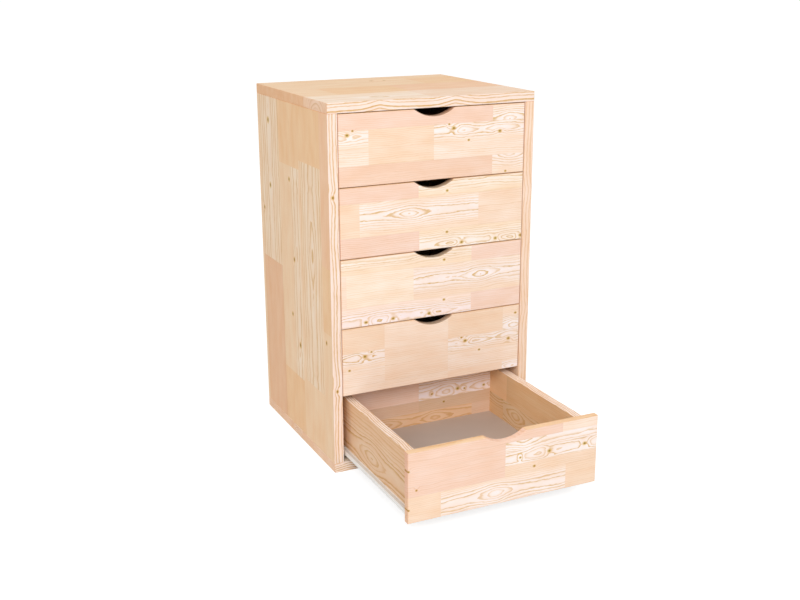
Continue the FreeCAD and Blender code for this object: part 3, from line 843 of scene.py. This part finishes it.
nylon, shader = mottled("moulded natural nylon", "D8D5CD", "ECE9E2", (0.4, 0.4, 0.4), (0.42, 0.34), 0.02)
shader.inputs["IOR"].default_value = NYLON_IOR
zinc, shader = mottled("zinc plated steel", "A9AFB4", "C6CACC", (0.9, 0.9, 0.9), (0.42, 0.28), 0.01)
shader.inputs["Metallic"].default_value = 1.0
beech, shader = mottled("turned beech", "B98B5E", "DDB98E", (3.0, 3.0, 0.5), (0.7, 0.6), 0.05, detail=4.0)
shader.inputs["IOR"].default_value = CELLULOSE_IOR
dress([name for name in nodes if "roller_pins" in name], zinc)
dress([name for name in nodes if "rollers" in name], nylon)
dress(["carcass_dowels"], beech)
print("nodes still without a finish:", [name for name, node in nodes.items() if not node.data.materials])

# %% [markdown]
# ## Runner screws
#
# Each runner is held by three pan-head screws with a cross recess. The head is a low dome that is
# spun around its axis, and the cross is cut out of it with a boolean, because a real driver
# leaves sharp walls that a bump couldn't show from near by.

# %% Shape one screw head
# The dome's outline from its middle to its rim, in shares of the radius and of the height.
DOME = ((0.0, 1.0), (0.45, 0.96), (0.75, 0.8), (0.93, 0.5), (1.0, 0.2), (1.0, 0.0), (0.0, 0.0))
BLADE_HALF_WIDTH = 0.22
BLADE_BOTTOM, BLADE_TOP = 0.45, 1.25


def spun_head(radius, height, steps=28):
    """A pan head, flat side on the XY plane, dome along +Z."""
    mesh = bmesh.new()
    points = [mesh.verts.new((out * radius, 0.0, up * height)) for out, up in DOME]
    edges = [mesh.edges.new(pair) for pair in zip(points, points[1:])]
    bmesh.ops.spin(mesh, geom=points + edges, cent=(0, 0, 0), axis=(0, 0, 1), angle=2 * math.pi,
                   steps=steps, use_merge=True)
    bmesh.ops.remove_doubles(mesh, verts=mesh.verts, dist=1e-6)
    bmesh.ops.recalc_face_normals(mesh, faces=mesh.faces)
    return mesh


def cross_cutter(radius, depth, top):
    """Two crossed blades that taper towards the bottom of the recess."""
    mesh = bmesh.new()
    half = BLADE_HALF_WIDTH * radius
    for turn in (0.0, math.pi / 2):
        corners = []
        for up, share in ((top - depth, BLADE_BOTTOM), (top + depth, BLADE_TOP)):
            for across, wide in ((-radius, -half), (radius, -half), (radius, half), (-radius, half)):
                spot = Matrix.Rotation(turn, 3, "Z") @ Vector((across * share, wide, up))
                corners.append(mesh.verts.new(spot))
        for face in ((0, 3, 2, 1), (4, 5, 6, 7), (0, 1, 5, 4), (1, 2, 6, 5), (2, 3, 7, 6), (3, 0, 4, 7)):
            mesh.faces.new([corners[corner] for corner in face])
    return mesh


def as_object(mesh, name):
    """Turn working geometry into an object in the scene."""
    data = bpy.data.meshes.new(name)
    mesh.to_mesh(data)
    mesh.free()
    made = bpy.data.objects.new(name, data)
    bpy.context.scene.collection.objects.link(made)
    return made


def screw_head_mesh(radius, height, recess_radius, recess_depth):
    """The pan head with its cross cut out."""
    head = as_object(spun_head(radius, height), "head")
    cutter = as_object(cross_cutter(recess_radius, recess_depth, height), "cutter")
    cut = head.modifiers.new("cross", "BOOLEAN")
    cut.operation = "DIFFERENCE"
    cut.solver = "EXACT"
    cut.use_self = True
    cut.object = cutter
    shaped = bpy.data.meshes.new_from_object(head.evaluated_get(bpy.context.evaluated_depsgraph_get()))
    for spare in (head, cutter):
        bpy.data.objects.remove(spare)
    return shaped


web_head = screw_head_mesh(3.4 * MM, 1.7 * MM, 2.0 * MM, 1.0 * MM)
foot_head = screw_head_mesh(3.2 * MM, 0.9 * MM, 1.9 * MM, 0.6 * MM)
print("faces of a screw head:", len(web_head.polygons), "and", len(foot_head.polygons))

# %% [markdown]
# The cabinet's runners are screwed through their upright web into the sides, and the drawers'
# through their foot into the lower edge of the drawer side, where only a flat head has room. One
# head of each kind is copied to every hole, and nobody who drives screws stops all crosses at one
# angle, so each is turned by lot. The screws of a body are one piece, since they never move apart.

# %% Put the screws in the runners
# All in mm, measured as in the CAD model.
WEB_FACE = 180.8
FOOT_MIDDLE = 164.1
FOOT_UNDERSIDE = 0.8
WEB_SCREW_HEIGHT = 10.0
SCREW_DEPTHS = (-120.0, 0.0, 120.0)
DRAWER_LEVELS = {1: 522.3, 2: 396.6, 3: 270.9, 4: 145.2, 5: 19.5}
SHOWN_OPEN = {5: -266.0}
draw = random.Random(5)


def screw_places(across, up, pulled=0.0, downwards=False):
    """The six screws of a pair of runners: place in mm, where the head looks, and its turn."""
    return [((side * across, depth + pulled, up), (0, 0, -1) if downwards else (-side, 0, 0),
             draw.uniform(0, math.pi / 2)) for side in (-1, 1) for depth in SCREW_DEPTHS]


def screw_piece(name, head, places, body):
    """All screw heads of one body as one mesh."""
    joined = bmesh.new()
    for place, towards, turn in places:
        copy = head.copy()
        facing = Vector(towards).to_track_quat("Z", "Y").to_matrix().to_4x4()
        spin = Matrix.Rotation(turn, 4, "Z")
        copy.transform(Matrix.Translation(Vector(place) * MM) @ facing @ spin)
        joined.from_mesh(copy)
        bpy.data.meshes.remove(copy)
    piece = as_object(joined, name)
    piece.data.materials.append(zinc)
    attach(piece, body)


web_places = []
for level in DRAWER_LEVELS.values():
    web_places += screw_places(WEB_FACE, level + WEB_SCREW_HEIGHT)
screw_piece("cabinet_runner_screws", web_head, web_places, "cabinet")
for number, level in DRAWER_LEVELS.items():
    foot_places = screw_places(FOOT_MIDDLE, level + FOOT_UNDERSIDE, SHOWN_OPEN.get(number, 0.0), True)
    screw_piece("drawer_%d_runner_screws" % number, foot_head, foot_places, "drawer_%d" % number)
print("screws:", len(web_places) + len(foot_places) * len(DRAWER_LEVELS))

# %% [markdown]
# ## Floor and studio
#
# The floor is plain white paper. A camera sees it a little lifted towards white, so that the page
# behind the cabinet is clean and the soft shadow stays; every other ray meets ordinary white
# paper, which bounces light up under the drawer as a studio floor does. The studio around it
# works the same way: pure white to the eye, also in a mirror or through glass, and a plain soft
# glow for everything that it lights.

# %% Floor and studio
FLOOR_REACH = 60
STUDIO_GLOW = 0.555


def seen_by_eye(tree):
    """1 for the rays that an eye follows: straight, mirrored, or through glass."""
    path = add_node(tree, "LightPath").outputs
    seen = add_node(tree, "Math", {0: path["Is Camera Ray"], 1: path["Is Glossy Ray"]}, operation="MAXIMUM")
    return add_node(tree, "Math", {0: seen, 1: path["Is Transmission Ray"]}, operation="MAXIMUM")


floor_mesh = bpy.data.meshes.new("floor")
corners = [(FLOOR_REACH * x, FLOOR_REACH * y, 0) for x, y in ((-1, -1), (1, -1), (1, 1), (-1, 1))]
floor_mesh.from_pydata(corners, [], [(0, 1, 2, 3)])
floor = bpy.data.objects.new("floor", floor_mesh)
bpy.context.scene.collection.objects.link(floor)
floor_material, floor_tree, paper = new_material("white paper floor")
matt = {"Roughness": 0.9, "Specular IOR Level": 0.1}
fill_inputs(floor_tree, paper, {"Base Color": opaque("E6E6E6"), **matt})
page = add_node(floor_tree, "BsdfPrincipled", {
    "Base Color": opaque("A5A5A5"), "Emission Color": opaque("FFFFFF"), "Emission Strength": 0.8, **matt})
surface = add_node(floor_tree, "MixShader", {0: seen_by_eye(floor_tree), 1: paper, 2: page})
fill_inputs(floor_tree, floor_tree.nodes["Material Output"], {"Surface": surface})
floor_mesh.materials.append(floor_material)

world = bpy.data.worlds.new("studio")
world.use_nodes = True
bpy.context.scene.world = world
studio = world.node_tree
strength = add_node(studio, "MapRange", {"Value": seen_by_eye(studio), "To Min": STUDIO_GLOW, "To Max": 1.0})
fill_inputs(studio, studio.nodes["Background"], {"Color": (1, 1, 1, 1), "Strength": strength})
print("glow of the studio on the wood:", STUDIO_GLOW)

# %% [markdown]
# ## Lights and camera
#
# Two large round softboxes give the form its soft shading: a key in front on the left, above
# head height, and a weak fill behind on the right. Being large, they leave no hard shadow edge.
# The camera was solved from the edges of the cabinet in the photograph: a 50 mm lens, 1.7 m in
# front of the drawers, to the left of them and looking down.

# %% Lights and camera
CAMERA_PLACE = (-0.8781, -1.9021, 0.8824)
CAMERA_TURNS = (73.259, 0.241, -25.298)
LENS = 50.06
SENSOR = 36.0


def soft_light(name, place, target, size, power):
    """A round softbox of this width in metres and power in watts that looks at the target."""
    lamp = bpy.data.lights.new(name, "AREA")
    lamp.shape = "DISK"
    lamp.size = size
    lamp.energy = power
    light = bpy.data.objects.new(name, lamp)
    bpy.context.scene.collection.objects.link(light)
    light.location = place
    light.rotation_euler = (Vector(target) - Vector(place)).to_track_quat("-Z", "Y").to_euler()


soft_light("key softbox", (-1.6, -3.0, 2.4), (0, 0, 0.35), 2.4, 87)
soft_light("fill softbox", (2.4, 1.3, 2.8), (0, 0, 0.4), 2.0, 20)

camera_data = bpy.data.cameras.new("camera")
camera_data.sensor_width = SENSOR
camera_data.lens = LENS
camera = bpy.data.objects.new("camera", camera_data)
bpy.context.scene.collection.objects.link(camera)
camera.location = CAMERA_PLACE
camera.rotation_euler = [math.radians(turn) for turn in CAMERA_TURNS]
bpy.context.scene.camera = camera
bpy.context.scene.view_settings.view_transform = "Standard"
print("lamps and camera:", [item.name for item in bpy.data.lights], camera.name)
